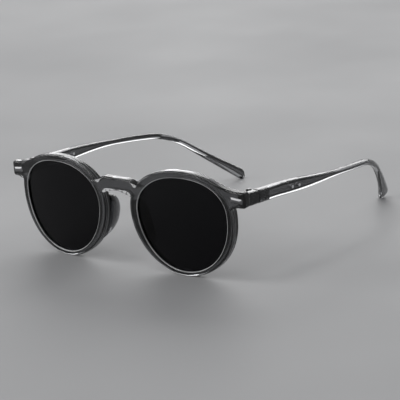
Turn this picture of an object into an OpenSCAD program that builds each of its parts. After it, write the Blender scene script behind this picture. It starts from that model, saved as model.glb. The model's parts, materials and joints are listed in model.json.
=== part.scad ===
// Round sunglasses with a clear acetate frame, dark lenses and folding temples.
// The wearer looks along -Y, +X is the wearer's left and +Z is up.
// The frame stands on its rims and on its temple tips, as it does on a table.

/* [Lenses] */
// Width of each lens
lens_w = 48; // [43:0.5:53]
// Height of each lens
lens_h = 44.4; // [40:0.2:48]
// Height of the lens above its widest level
lens_rise = 17.7; // [15.5:0.1:20]
// Thickness of each lens
lens_t = 2; // [1.6:0.1:2.4]
// How far the middle of the lens stands forward of its edge
lens_bulge = 0.6; // [0.2:0.1:0.9]
// Depth of the lens edge in the groove
groove_d = 0.5; // [0.3:0.1:0.7]
// Width of the groove at its mouth
groove_w = 1.6; // [1.2:0.1:2]
// Play between the lens edge and the groove
lens_play = 0.06; // [0.04:0.01:0.12]

/* [Front] */
// Distance between the two lenses over the nose
bridge_gap = 21.6; // [19:0.2:25]
// Thickness of the front
front_t = 4; // [3.4:0.1:4.6]
// Radius of the curve of the front, seen from above
front_curve = 430; // [350:10:700]
// Lean of the front against the temples, in degrees
front_lean = 5.8; // [3:0.2:9]
// Width of the rim above the lens
rim_top = 2.7; // [2:0.1:3.5]
// Width of the rim below the lens
rim_bottom = 1.6; // [1.4:0.1:2.4]
// Width of the rim beside the nose
rim_nose = 3.8; // [3.2:0.1:5]
// Width of the rim on the temple side
rim_side = 2.8; // [2.2:0.1:3.6]
// Radius of the outer edges of the front
edge_r = 1.1; // [0.6:0.1:1.3]
// Radius of the edges around the lens
lip_r = 0.4; // [0.2:0.1:0.6]

/* [Bridge] */
// Height of the top of the bridge above the widest level of the lens
bridge_top = 13.8; // [12.5:0.1:15]
// Height of the bridge in the middle
bridge_h = 6.2; // [5:0.1:7]
// Half the width of the flat saddle on the bridge
saddle_w = 6; // [4:0.5:7]

/* [Nose pads] */
// Height of a nose pad
pad_h = 22; // [16:0.5:24]
// Width of a nose pad, from front to back
pad_w = 8.8; // [6.4:0.2:10]
// Thickness of a nose pad
pad_t = 2.8; // [2.2:0.1:3.4]
// Height of the middle of the pads against the widest level of the lens
pad_level = -7; // [-9:0.5:-4]
// Turn of the pads away from the nose at the back, in degrees
pad_splay = 15; // [10:1:25]
// Distance from the nose edge of the rim to the middle of the pad
pad_in = 0.6; // [0.2:0.1:1.2]

/* [End pieces] */
// Reach of the end piece past the rim
lug_reach = 6.3; // [5.4:0.1:8]
// Height of the end piece
lug_h = 7; // [6.4:0.1:8]
// Height of the middle of the end piece above the widest level of the lens
lug_level = 9.4; // [8:0.1:11]
// Depth of the end piece, from its face to the joint
lug_depth = 11; // [10:0.1:14]
// Thickness of the end piece beside the hinge
lug_w = 4.4; // [4:0.1:5]

/* [Plaques] */
// Width of the metal plaque on the end piece
plaque_w = 6; // [4:0.2:7]
// Height of the plaque
plaque_h = 2.4; // [1.6:0.1:3]
// Thickness of the plaque
plaque_t = 0.9; // [0.7:0.1:1.2]
// How far the plaque stands proud of the acetate
plaque_proud = 0.3; // [0.1:0.1:0.4]
// Slope of the plaque down towards the temple, in degrees
plaque_tilt = 8; // [0:1:12]
// Diameter of the two posts behind the plaque
post_d = 1.2; // [0.8:0.1:1.4]
// Length of the posts
post_l = 2.2; // [1.5:0.1:2.6]

/* [Temples] */
// Length of the temple along its middle line
temple_l = 150; // [140:1:160]
// Distance from the joint to the start of the slight camber before the ear bend
camber_at = 48; // [36:1:56]
// Fall of that camber, in degrees
camber = 3.5; // [0:0.2:6]
// Distance from the joint to the start of the ear bend
bend_at = 88; // [82:1:96]
// Radius of the ear bend
bend_r = 49; // [36:1:56]
// Angle of the ear bend, in degrees
bend_angle = 30.4; // [26:0.2:34]
// Height of the temple at the hinge
temple_h = 6.1; // [5.6:0.1:7]
// Height of the temple at its waist
waist_h = 3; // [2.6:0.1:4]
// Height of the tip
tip_h = 6.2; // [5:0.2:8]
// Turn of the tip, its lower edge towards the head, in degrees
tip_turn = 30; // [0:1:34]
// Distance from the joint to where the temple begins to taper
taper_at = 23; // [16:1:28]
// Distance from the joint to the waist
waist_at = 64; // [58:1:76]
// Thickness of the temple at its waist
waist_t = 3; // [2.6:0.1:3.8]
// Length of the straight run of the temple behind the hinge
straight_l = 12; // [12:0.5:15]
// Angle at which the temple opens outwards behind the hinge, in degrees
splay = 5; // [2:0.5:6]
// Distance from the joint to where the temple begins to curve inwards
bow_at = 32; // [28:1:40]
// Radius of that curve, seen from above
bow_r = 202; // [190:2:280]
// Radius of the long edges of the temple
temple_edge = 0.9; // [0.5:0.1:1.2]
// Distance from the joint to the first rivet
rivet_at = 24.4; // [20:0.2:28]
// Distance between the two rivets
rivet_pitch = 4.8; // [4:0.2:8]
// Diameter of the rivets
rivet_d = 1.5; // [1:0.1:2]

/* [Hinges] */
// Height of the hinge
hinge_h = 5; // [4.6:0.1:5.6]
// Radius of the hinge barrels
barrel_r = 1.3; // [1.2:0.05:1.5]
// Diameter of the hinge screw
screw_d = 1.4; // [1.2:0.05:1.5]
// Play between the screw and the barrels, on the radius
screw_play = 0.05; // [0.03:0.01:0.08]
// Gap between neighbouring barrels
barrel_gap = 0.06; // [0.04:0.01:0.12]
// Thickness of the hinge leaves
leaf_t = 0.9; // [0.8:0.1:1.2]
// How deep the leaves are let into the acetate
leaf_sunk = 0.4; // [0.2:0.1:0.6]
// Length of the leaf on the front
front_leaf = 8; // [7:0.5:9]
// Length of the leaf on the temple
temple_leaf = 10; // [8:0.5:12]
// Gap between the end piece and the temple
joint_gap = 0.15; // [0.1:0.05:0.3]
// Diameter of the pins that hold the leaves
pin_d = 1.1; // [0.8:0.1:1.3]
// Length of those pins
pin_l = 2.6; // [2.2:0.1:3]

/* [Hidden] */

$fn = 48;
hole_play = 0.05;
leaf_play = 0.05;

// Fullness of the lens outline in its four quarters, as powers of a superellipse:
// upper temple side, upper nose side, lower nose side, lower temple side
lens_full = [2.3, 2.05, 1.95, 2.1];
rim_full = [0, 0.1, 0, 0];

lens_x = bridge_gap / 2 + lens_w / 2;
lens_drop = lens_h - lens_rise;
lug_x = lens_x + lens_w / 2 + rim_side + lug_reach;
lug_in = lug_x - lug_w;
bridge_under = bridge_top - bridge_h;

// General helpers

function lerp(a, b, t) = a + (b - a) * t;
function clamp01(t) = min(1, max(0, t));
function ease(t) = let (u = clamp01(t)) u * u * (3 - 2 * u);
function bend3(a, b, c, t) = (1 - t) * (1 - t) * a + 2 * t * (1 - t) * b + t * t * c;
function arc3(a, b, c, n) = [for (i = [0:n]) bend3(a, b, c, i / n)];
function rounded(p, q, r, d, n) =
    let (u = (p - q) / norm(p - q), v = (r - q) / norm(r - q)) arc3(q + d * u, q, q + d * v, n);
function tri_grid(rows, cols, close_rows) = [
    for (j = [0:rows - (close_rows ? 1 : 2)], i = [0:cols - 1])
        let (k = (j + 1) % rows, m = (i + 1) % cols)
            each [[j * cols + i, k * cols + i, k * cols + m], [j * cols + i, k * cols + m, j * cols + m]]];

// A skin over rings of points, closed at both ends by fans
module skin(rings) {
    n = len(rings[0]);
    m = len(rings);
    first = [for (k = [0:2]) sum([for (p = rings[0]) p[k]]) / n];
    last = [for (k = [0:2]) sum([for (p = rings[m - 1]) p[k]]) / n];
    pts = concat([for (r = rings) each r], [first, last]);
    caps = [for (i = [0:n - 1]) each [
        [m * n, (i + 1) % n, i],
        [m * n + 1, (m - 1) * n + i, (m - 1) * n + (i + 1) % n]]];
    sides = [for (f = tri_grid(m, n, false)) [f[2], f[1], f[0]]];
    polyhedron(pts, concat(sides, caps), convexity = 6);
}
function sum(v, i = 0) = i == len(v) ? 0 : v[i] + sum(v, i + 1);

module mirrored(side) {
    mirror([side < 0 ? 1 : 0, 0, 0]) children();
}

// Outlines of the lens and the rim, as distances from the middle of the lens at angle a.
// Angle 0 points to the temple, 90 up and 180 to the nose.

function quarter(a) = floor((a % 360 + 360) % 360 / 90);
function reach(a, side, nose, up, down, full) =
    let (c = cos(a), s = sin(a), n = full[quarter(a)])
        pow(pow(abs(c) / (c > 0 ? side : nose), n) + pow(abs(s) / (s > 0 ? up : down), n), -1 / n);
function lens_reach(a, grow) =
    reach(a, lens_w / 2 + grow, lens_w / 2 + grow, lens_rise + grow, lens_drop + grow, lens_full);
function rim_reach(a) =
    reach(a, lens_w / 2 + rim_side, lens_w / 2 + rim_nose, lens_rise + rim_top,
        lens_drop + rim_bottom, lens_full + rim_full);
function rim_point(a) = [lens_x + rim_reach(a) * cos(a), rim_reach(a) * sin(a)];
// Half width of the rim outline at height z above the widest level
function rim_half(z, half, up, n) = half * pow(1 - pow(z / up, n), 1 / n);
function rim_high(x, half, up, n) = up * pow(1 - pow(x / half, n), 1 / n);

// Half of the outline of the front, from the top of the bridge round to its underside

up_all = lens_rise + rim_top;
nose_all = lens_w / 2 + rim_nose;
side_all = lens_w / 2 + rim_side;
full_nose = lens_full[1] + rim_full[1];
full_side = lens_full[0] + rim_full[0];

notch = [bridge_gap / 2, rim_high(lens_x - bridge_gap / 2, nose_all, up_all, full_nose)];
notch_a = atan2(notch[1], notch[0] - lens_x);
brow_x = lens_x + lens_w * 0.35;
brow = [brow_x, rim_high(brow_x - lens_x, side_all, up_all, full_side)];
brow_a = atan2(brow[1], brow[0] - lens_x);
lug_top = lug_level + lug_h / 2;
lug_low = lug_level - lug_h / 2;
lug_step = 1.4;
lug_root_x = lens_x + rim_half(lug_low - lug_step, side_all, up_all, full_side);
lug_root_a = atan2(lug_low - lug_step, lug_root_x - lens_x);
arch_step = 2;
arch_x = lens_x - rim_half(bridge_under - arch_step, nose_all, up_all, full_nose);
arch_a = atan2(bridge_under - arch_step, arch_x - lens_x) - 360;
corner = 1.3;

outline = concat(
    [for (t = [0:0.5:1]) [t * saddle_w, bridge_top]],
    [for (t = [0.3, 0.6, 0.85])
        bend3([saddle_w, bridge_top], [bridge_gap / 2 - 1.2, bridge_top], notch, t)],
    [for (i = [0:20]) rim_point(lerp(notch_a, brow_a, i / 20))],
    [for (t = [0.33, 0.67])
        bend3(brow, [brow_x + 5, brow[1] - 2.6], [lug_x - 7.5, lug_top + 0.9], t)],
    [[lug_x - 7.5, lug_top + 0.9], [lug_x - 4, lug_top + 0.35]],
    rounded([lug_x - 4, lug_top + 0.35], [lug_x, lug_top], [lug_x, lug_low], corner, 3),
    [[lug_x, lug_level]],
    rounded([lug_x, lug_top], [lug_x, lug_low], [lug_root_x, lug_low], corner, 3),
    [[lerp(lug_x, lug_root_x, 0.55), lug_low]],
    rounded([lug_x, lug_low], [lug_root_x + 0.1, lug_low], rim_point(lug_root_a), lug_step, 3),
    [for (i = [1:46]) rim_point(lerp(lug_root_a, arch_a, i / 46))],
    [for (t = [0.33, 0.67, 1])
        bend3(rim_point(arch_a), [arch_x - 0.6, bridge_under], [arch_x - 3.2, bridge_under], t)],
    [for (t = [0.5, 1]) [(1 - t) * (arch_x - 3.2), bridge_under]]);
seam = [for (t = [0.25, 0.5, 0.75]) [0, lerp(bridge_under, bridge_top, t)]];

out_n = len(outline);
ring_n = out_n + len(seam);
function mirror_x(p) = [-p[0], p[1]];
function out_at(i) = i < 0 ? mirror_x(outline[-i]) : i >= out_n ? mirror_x(outline[2 * out_n - 2 - i]) : outline[i];
function out_normal(i) = let (d = out_at(i + 1) - out_at(i - 1)) [-d[1], d[0]] / norm(d);
// Angle of the lens edge that belongs to each outline point, running steadily round
turn = [for (p = outline) let (a = atan2(p[1], p[0] - lens_x)) a];
function unwound(i) = turn[i] > 0 && i > out_n * 0.6 ? turn[i] - 360 : turn[i];
ring_a = [for (i = [0:ring_n - 1])
    let (u = lerp(turn[0], turn[0] - 360, i / ring_n),
        v = i < out_n ? unwound(i)
            : atan2(seam[i - out_n][1], seam[i - out_n][0] - lens_x) - 360)
        lerp(u, v, 0.72)];

// Profile of the rim: [kind, inset or growth, depth], kind 0 on the outline, kind 1 on the lens edge
half_t = front_t / 2;
edge_steps = [0, 30, 60, 90];
profile = concat(
    [for (a = edge_steps) [0, edge_r * (1 - sin(a)), -half_t + edge_r * (1 - cos(a))]],
    [for (a = edge_steps) [0, edge_r * (1 - cos(a)), half_t - edge_r * (1 - sin(a))]],
    [[1, lip_r - groove_d, half_t], [1, -groove_d, half_t - lip_r], [1, -groove_d, groove_w / 2],
        [1, lens_play, 0],
        [1, -groove_d, -groove_w / 2], [1, -groove_d, lip_r - half_t], [1, lip_r - groove_d, -half_t]]);

function front_point(k, i) =
    let (q = profile[k])
        q[0] == 1
        ? let (a = ring_a[i], r = lens_reach(a, q[1])) [lens_x + r * cos(a), q[2], r * sin(a)]
        : i >= out_n
        ? [0, q[2], seam[i - out_n][1]]
        : let (p = outline[i] - q[1] * out_normal(i)) [i == 0 || i == out_n - 1 ? 0 : p[0], q[2], p[1]];

// The front is bent round a tall cylinder, leans, and meets the joint at the height of the temple

function sag(x) = (x * x - lens_x * lens_x) / (2 * front_curve);
lug_face = sag(lug_x) - half_t;
front_y = -lug_depth - lug_face * cos(front_lean) + lug_level * sin(front_lean);
front_z = -lug_face * sin(front_lean) - lug_level * cos(front_lean);
function lean(p) =
    [p[0], p[1] * cos(front_lean) - p[2] * sin(front_lean) + front_y,
        p[1] * sin(front_lean) + p[2] * cos(front_lean) + front_z];
function bent(p) = lean([p[0], p[1] + sag(p[0]), p[2]]);
module leaning() {
    translate([0, front_y, front_z]) rotate([front_lean, 0, 0]) children();
}

front_points = [for (k = [0:len(profile) - 1], i = [0:ring_n - 1]) bent(front_point(k, i))];

// Middle line and sections of a temple, s is the distance along it

camber_l = bend_at - camber_at;
bend_l = bend_r * bend_angle * PI / 180;
bend_end = bend_at + bend_l;
function cambered(s) = camber * clamp01((s - camber_at) / camber_l);
function bent_down(s) = bend_angle * clamp01((s - bend_at) / bend_l);
function fall(s) = cambered(s) + bent_down(s);
// End of an arc of this length and turn that starts at p with slope a
function along(p, a, len, turn) = abs(turn) < 0.001 ? p + len * [cos(a), -sin(a)]
    : p + len * 180 / (turn * PI) * [sin(a + turn) - sin(a), cos(a + turn) - cos(a)];
function middle(s) =
    let (p = along([min(s, camber_at), 0], 0, min(camber_l, max(0, s - camber_at)), cambered(s)),
        q = along(p, cambered(s), min(bend_l, max(0, s - bend_at)), bent_down(s)))
        along(q, fall(s), max(0, s - bend_end), 0);
splay_end = straight_l + 10;
function run_out(s) = s < straight_l ? 0 : s < splay_end ? pow(s - straight_l, 2) / (2 * (splay_end - straight_l))
    : s - (straight_l + splay_end) / 2;
function outer_x(s) = lug_x + tan(splay) * run_out(s) - pow(max(0, s - bow_at), 2) / (2 * bow_r);
function tip_turned(s) = tip_turn * ease((s - bend_at) / (temple_l - bend_at));
tip_round = tip_h * 0.52;
function round_off(s) = sqrt(max(0, 1 - pow(max(0, s - (temple_l - tip_round)) / tip_round, 2)));
tip_from = (bend_at + bend_end) / 2;
function temple_half(s) =
    lerp(lerp(temple_h, waist_h, ease((s - taper_at) / (waist_at - taper_at))), tip_h,
        pow(clamp01((s - tip_from) / (temple_l - tip_round - tip_from)), 2.5)) / 2 * max(0.12, round_off(s));
function temple_thick(s) =
    lerp(lug_w, waist_t, ease((s - temple_leaf) / (0.3 * temple_l))) * lerp(0.45, 1, round_off(s));
stations = concat(
    [joint_gap, joint_gap + 0.35], [for (i = [0:3]) lerp(straight_l, splay_end, i / 3)],
    [for (i = [0:7]) lerp(bow_at, bend_at - 5, i / 7)],
    [for (i = [0:9]) lerp(bend_at, bend_end + 2, i / 9)],
    [for (i = [1:6]) lerp(bend_end + 2, temple_l - tip_round, i / 6)],
    [for (a = [22, 42, 58, 72, 84]) temple_l - tip_round + tip_round * sin(a)]);
function temple_ring(s) =
    let (h = temple_half(s) - (s == joint_gap ? 0.3 : 0), w = temple_thick(s) / 2 - (s == joint_gap ? 0.3 : 0),
        r = min(temple_edge, h * 0.8, w * 0.8), mid = outer_x(s) - temple_thick(s) / 2,
        m = middle(s), a0 = fall(s), t = tip_turned(s))
        [for (c = [0:3], b = [0, 30, 60, 90])
            let (a = 90 * c + b, u = (c == 0 || c == 3 ? w - r : r - w) + r * cos(a),
                v = (c < 2 ? h - r : r - h) + r * sin(a), x = u * cos(t) + v * sin(t), up = v * cos(t) - u * sin(t))
                [mid + x, m[0] + up * sin(a0), m[1] + up * cos(a0)]];
temple_rings = [for (s = stations) temple_ring(s)];

// The sunglasses rest on the two rims and the two tips

foot_front = [for (k = [0:7], i = [floor(out_n * 0.45):floor(out_n * 0.8)]) bent(front_point(k, i))];
foot_tip = [for (j = [len(stations) - 9:len(stations) - 1]) each temple_rings[j]];
function low(pts, a) = min([for (p = pts) p[2] * cos(a) - p[1] * sin(a)]);
function settle(a, n) = n == 0 ? a
    : settle(a + atan2(low(foot_tip, a) - low(foot_front, a), temple_l), n - 1);
rest_a = settle(4, 12);
rest_z = -low(foot_front, rest_a);
y_front = min([for (p = front_points) p[1] * cos(rest_a) + p[2] * sin(rest_a)]);
y_back = max([for (p = foot_tip) p[1] * cos(rest_a) + p[2] * sin(rest_a)]);
rest_y = -(y_front + y_back) / 2;
module resting() {
    translate([0, rest_y, rest_z]) rotate([-rest_a, 0, 0]) children();
}

// Hinge: the axis runs just inside the inner faces of the end piece and the temple

axis_x = lug_in - barrel_r - 0.1;
knuckles = 5;
knuckle_h = (hinge_h - (knuckles - 1) * barrel_gap) / knuckles;
function knuckle_z(i) = -hinge_h / 2 + i * (knuckle_h + barrel_gap);
leaf_x = lug_in + leaf_sunk - leaf_t;
leaf_root = 0.5;
head_h = 0.5;

// side is -1 for the leaf that runs forward into the end piece, 1 for the one on the temple
module leaf(side, len, first) {
    difference() {
        union() {
            translate([leaf_x, side < 0 ? -len : 0, -hinge_h / 2]) cube([leaf_t, len, hinge_h]);
            for (i = [first:2:knuckles - 1])
                translate([axis_x, 0, knuckle_z(i)]) cylinder(r = barrel_r, h = knuckle_h);
        }
        for (i = [1 - first:2:knuckles])
            translate([axis_x, 0, knuckle_z(i) - barrel_gap])
                cylinder(r = barrel_r + 0.15, h = knuckle_h + 2 * barrel_gap);
        translate([axis_x, 0, -hinge_h]) cylinder(r = screw_d / 2 + screw_play, h = 2 * hinge_h);
        for (y = pin_places(side, len))
            translate([leaf_x - 1, y, 0]) rotate([0, 90, 0]) cylinder(d = pin_d + 2 * hole_play, h = leaf_t + 2);
    }
}
function pin_places(side, len) = [side * len * 0.4, side * len * 0.78];
module leaf_pocket(side, len) {
    translate([lug_in - 1, side < 0 ? -len - leaf_play : -1, -hinge_h / 2 - leaf_play])
        cube([leaf_sunk + 1 + leaf_play, len + 1 + leaf_play, hinge_h + 2 * leaf_play]);
}
module leaf_pins(side, len, grow = 0) {
    for (y = pin_places(side, len))
        translate([leaf_x, y, 0]) rotate([0, 90, 0]) cylinder(d = pin_d + 2 * grow, h = pin_l + grow);
}

// Sub-parts

plaque_x = lug_x - 1.1 - plaque_w / 2;
plaque_turn = atan(plaque_x / front_curve);
module on_plaque() {
    leaning() translate([plaque_x, sag(plaque_x) - half_t, lug_level]) rotate([0, plaque_tilt, plaque_turn]) children();
}
post_x = plaque_w / 2 - 1.3;
module plaque_body(grow = 0) {
    translate([-plaque_w / 2 - grow, -plaque_proud, -plaque_h / 2 - grow])
        cube([plaque_w + 2 * grow, plaque_t + grow, plaque_h + 2 * grow]);
    for (x = [-post_x, post_x])
        translate([x, -plaque_proud + 0.1, 0]) rotate([-90, 0, 0])
            cylinder(d = post_d + 2 * grow, h = plaque_t + post_l - 0.1 + grow);
}
module front_plaque(side) {
    color("silver") resting() mirrored(side) on_plaque() difference() {
        plaque_body();
        for (z = [-1, 1])
            translate([0, -plaque_proud, z * plaque_h / 2]) rotate([45, 0, 0])
                cube([plaque_w + 1, 0.3, 0.3], center = true);
        for (x = [-1, 1])
            translate([x * plaque_w / 2, -plaque_proud, 0]) rotate([0, 0, 45])
                cube([0.3, 0.3, plaque_h + 1], center = true);
    }
}

block_steps = [0, 0.3, 0.6, 0.85, 1];
// The block swells a little in the middle, and its side stays just inside the side of the front
module block_section(t) {
    y = lerp(-lug_depth + front_t * 0.7, 0, t);
    trim = 0.02 + 0.08 * pow(2 * t - 1, 2) + (t == 1 ? 0.2 : 0);
    h = lerp(lug_h - 0.7, temple_h, ease(t)) - 2 * trim;
    w = lug_w - 2 * trim;
    translate([lug_x - lug_w / 2, y, 0]) rotate([90, 0, 0])
        linear_extrude(0.01) offset(r = temple_edge, $fn = 24)
            square([w - 2 * temple_edge, h - 2 * temple_edge], center = true);
}
module end_block() {
    for (i = [0:len(block_steps) - 2])
        hull() {
            block_section(block_steps[i]);
            block_section(block_steps[i + 1]);
        }
}
module front_half() {
    polyhedron(front_points, tri_grid(len(profile), ring_n, true), convexity = 8);
}
module front_frame() {
    color([0.55, 0.57, 0.6, 0.6]) resting() union() {
        difference() {
            for (side = [-1, 1])
                mirrored(side) {
                    front_half();
                    end_block();
                }
            for (side = [-1, 1])
                mirrored(side) {
                    on_plaque() plaque_body(hole_play);
                    leaf_pocket(-1, front_leaf);
                    leaf_pins(-1, front_leaf, hole_play);
                }
        }
    }
}

lens_rings = [
    [0.3, -1], [0.6, -1], [0.85, -1], [1, -1], [1, 0], [1, 1], [0.85, 1], [0.6, 1], [0.3, 1]];
function lens_ring(q) = [for (a = [0:6:354])
    let (r = q[0] * lens_reach(a, q[0] == 1 && q[1] == 0 ? 0 : -groove_d - lens_play),
        b = q[1] == 0 ? 0 : lens_bulge * (1 - q[0] * q[0]))
        bent([lens_x + r * cos(a), q[1] * (q[0] == 1 ? groove_w / 2 - lens_play : lens_t / 2) - b, r * sin(a)])];
module lens(side) {
    color([0.06, 0.06, 0.07]) resting() mirrored(side) skin([for (q = lens_rings) lens_ring(q)]);
}

// A pad is a flat half oval that follows the nose edge of the rim, seated on the back of the rim
pad_levels = [-1, -0.94, -0.8, -0.55, -0.2, 0.2, 0.55, 0.8, 0.94, 1];
pad_seat = 0.8;
pad_gap = 0.15;
function nose_edge(z) = lens_x - (z > 0
    ? rim_half(z, nose_all, up_all, full_nose)
    : rim_half(-z, nose_all, lens_drop + rim_bottom, lens_full[2] + rim_full[2]));
function pad_ring(t) =
    let (w = max(0.1, sqrt(max(0, 1 - pow(abs(t), 2.6)))), z = pad_level + t * pad_h / 2, x = nose_edge(z) + pad_in,
        y = sag(x) + half_t + (pad_w / 2 * w - pad_seat) * cos(pad_splay))
        [for (a = [0:22.5:337.5])
            let (u = pad_t / 2 * lerp(0.5, 1, w) * w * sin(a), v = pad_w / 2 * w * cos(a))
                [x + u * cos(pad_splay) + v * sin(pad_splay), y - u * sin(pad_splay) + v * cos(pad_splay), z]];
module nose_pad(side) {
    color([0.6, 0.62, 0.65, 0.6]) resting() mirrored(side) leaning() difference() {
        skin([for (t = pad_levels) pad_ring(t)]);
        translate([0, sag(nose_edge(pad_level - pad_h / 2)) + half_t + pad_gap - 10, pad_level - pad_h])
            cube([30, 10, 2 * pad_h]);
    }
}

module front_hinge(side) {
    color("silver") resting() mirrored(side) leaf(-1, front_leaf, 0);
}
module front_hinge_pins(side) {
    color("silver") resting() mirrored(side) leaf_pins(-1, front_leaf);
}
module temple_hinge(side) {
    color("silver") resting() mirrored(side) leaf(1, temple_leaf, 1);
}
module temple_hinge_pins(side) {
    color("silver") resting() mirrored(side) leaf_pins(1, temple_leaf);
}
module hinge_screw(side) {
    color("silver") resting() mirrored(side) translate([axis_x, 0, 0]) difference() {
        union() {
            translate([0, 0, -hinge_h / 2 - 0.2]) cylinder(d = screw_d, h = hinge_h + 0.3);
            translate([0, 0, hinge_h / 2 + 0.05]) cylinder(r = barrel_r - 0.1, h = head_h);
        }
        translate([-2, -0.15, hinge_h / 2 + 0.05 + head_h * 0.5]) cube([4, 0.3, 1]);
    }
}

function rivet_s(i) = rivet_at + i * rivet_pitch;
module rivets(grow = 0) {
    for (i = [0, 1])
        translate([outer_x(rivet_s(i)), rivet_s(i), 0]) rotate([0, -90, -splay]) translate([0, 0, -0.08 - grow])
            cylinder(d = rivet_d + 2 * grow, h = temple_thick(rivet_s(i)) * cos(splay) + 0.2 + 2 * grow);
}
module temple(side) {
    color([0.55, 0.57, 0.6, 0.6]) resting() mirrored(side) difference() {
        skin(temple_rings);
        leaf_pocket(1, temple_leaf);
        leaf_pins(1, temple_leaf, hole_play);
        rivets(hole_play);
    }
}
module temple_rivets(side) {
    color("silver") resting() mirrored(side) rivets();
}

front_frame();
lens(1);  // lens_left
lens(-1);  // lens_right
nose_pad(1);  // nose_pad_left
nose_pad(-1);  // nose_pad_right
front_plaque(1);  // front_plaque_left
front_plaque(-1);  // front_plaque_right
front_hinge(1);  // front_hinge_left
front_hinge(-1);  // front_hinge_right
front_hinge_pins(1);  // front_hinge_pins_left
front_hinge_pins(-1);  // front_hinge_pins_right
hinge_screw(1);  // hinge_screw_left
hinge_screw(-1);  // hinge_screw_right
temple(1);  // temple_left
temple(-1);  // temple_right
temple_hinge(1);  // temple_hinge_left
temple_hinge(-1);  // temple_hinge_right
temple_hinge_pins(1);  // temple_hinge_pins_left
temple_hinge_pins(-1);  // temple_hinge_pins_right
temple_rivets(1);  // temple_rivets_left
temple_rivets(-1);  // temple_rivets_right
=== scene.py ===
import json
import math

import bmesh
import bpy
import numpy as np
from mathutils import Matrix, Vector


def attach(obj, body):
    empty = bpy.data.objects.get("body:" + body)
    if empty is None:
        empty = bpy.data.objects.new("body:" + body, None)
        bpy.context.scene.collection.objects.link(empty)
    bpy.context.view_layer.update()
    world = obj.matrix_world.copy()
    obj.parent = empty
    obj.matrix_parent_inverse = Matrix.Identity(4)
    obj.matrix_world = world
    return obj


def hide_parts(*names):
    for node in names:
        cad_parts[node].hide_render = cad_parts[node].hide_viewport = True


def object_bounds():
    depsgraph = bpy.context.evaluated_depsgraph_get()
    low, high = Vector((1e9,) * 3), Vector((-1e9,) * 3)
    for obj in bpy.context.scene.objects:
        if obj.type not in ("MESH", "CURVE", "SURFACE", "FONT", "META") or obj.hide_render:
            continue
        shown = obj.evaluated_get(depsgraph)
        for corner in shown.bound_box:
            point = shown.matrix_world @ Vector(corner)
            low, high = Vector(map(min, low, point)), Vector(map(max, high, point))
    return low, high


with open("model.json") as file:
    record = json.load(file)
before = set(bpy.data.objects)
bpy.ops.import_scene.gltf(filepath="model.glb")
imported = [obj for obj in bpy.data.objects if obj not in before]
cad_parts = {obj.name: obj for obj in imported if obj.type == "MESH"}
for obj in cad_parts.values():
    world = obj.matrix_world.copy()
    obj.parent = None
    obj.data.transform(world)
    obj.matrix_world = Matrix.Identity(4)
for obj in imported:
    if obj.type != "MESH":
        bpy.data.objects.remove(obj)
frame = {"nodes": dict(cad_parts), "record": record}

cad_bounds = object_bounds()
record = frame["record"]

# Sizes, with lengths in millimetres and angles in radians unless a comment says otherwise
# Lens: width, height, rise above its widest line, thickness, bulge, and the chamfers of its two faces
LENS_W, LENS_H, LENS_RISE = 48.0, 44.4, 17.7
LENS_T, LENS_BULGE, LENS_CHAMFER, LENS_BACK_CHAMFER = 2.0, 0.6, 0.2, 0.05
# How square each quarter of the lens and of the rim is, where 2 is an ellipse
LENS_FULL = np.array([2.3, 2.05, 1.95, 2.1])
RIM_FULL = LENS_FULL + np.array([0, 0.1, 0, 0])
# Groove in the rim: depth, width, the narrow strip of faces on each side, and the play of the lens in it
GROOVE_D, GROOVE_W, GROOVE_STRIP, LENS_PLAY = 0.5, 1.6, 0.1, 0.06
# Front: gap between the lenses, thickness, radius of its curve, and its lean
BRIDGE_GAP, FRONT_T, CURVE, LEAN = 21.6, 4.0, 430.0, math.radians(5.8)
# Width of the rim on each side of the lens
RIM_TOP, RIM_BOTTOM, RIM_NOSE, RIM_SIDE = 2.7, 1.6, 3.8, 2.8
# Radii of the front's outer edges and of the lips round the lens
EDGE_R, LIP_R = 0.85, 0.35
# Saddle bridge: level of its top, height, half length of its flat top, and how it curves into the notch
BRIDGE_TOP, BRIDGE_H, SADDLE_W, NOTCH_EASE = 13.8, 6.2, 6.0, 1.2
# Arch under the bridge: how far down the rim it starts, and how it curves into the flat underside
ARCH_DROP, ARCH_EASE, ARCH_FLAT = 2, 0.6, 3.2
# Brow: where the outline leaves the rim, as a share of the lens's width, and the curve's way out and down
BROW_AT, BROW_OUT, BROW_DOWN = 0.35, 5, 2.6

# End piece: reach past the rim, height, level of its middle, depth from its face to the joint, and width
LUG_REACH, LUG_H, LUG_LEVEL, LUG_DEPTH, LUG_W = 6.3, 7.0, 9.4, 11.0, 4.4
# Its shoulder, as points that lie so far in from its end and so far above its top
LUG_SHOULDER = [(7.5, 0.9), (6.3, 0.69), (5.1, 0.5), (4, 0.35), (2.8, 0.23)]
# Radius of its corners, how far from them the points on its end start, and the fillet and step under it
LUG_CORNER, LUG_END_IN, ROOT_FILLET, ROOT_STEP = 1.3, 1.5, 1.5, 1.4
# Block behind its face: its start as a share of the front's thickness, how much lower it is there, and the
# radius of its end
BLOCK_FROM, BLOCK_LOWER, BLOCK_R = 0.7, 0.7, 0.25
# How far the block's faces stay inside the solid, in its middle and more at its ends
BLOCK_TRIM, BLOCK_END_TRIM = 0.02, 0.08

# Nose pad: height, depth, thickness, level of its middle, and splay
PAD_H, PAD_W, PAD_T, PAD_LEVEL, PAD_SPLAY = 22.0, 8.8, 2.8, -7.0, math.radians(15)
# Its place in from the rim's edge, how deep it is set, its least clearance, and how square its ends are
PAD_IN, PAD_SEAT, PAD_CLEAR, PAD_FULL = 0.6, 0.8, 0.02, 2.6

# Temple, from the joint back: length, camber and bend, with both turns in degrees
TEMPLE_L, CAMBER_AT, CAMBER, BEND_AT, BEND_R, BEND_A = 150.0, 48.0, 3.5, 88.0, 49.0, 30.4
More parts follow.
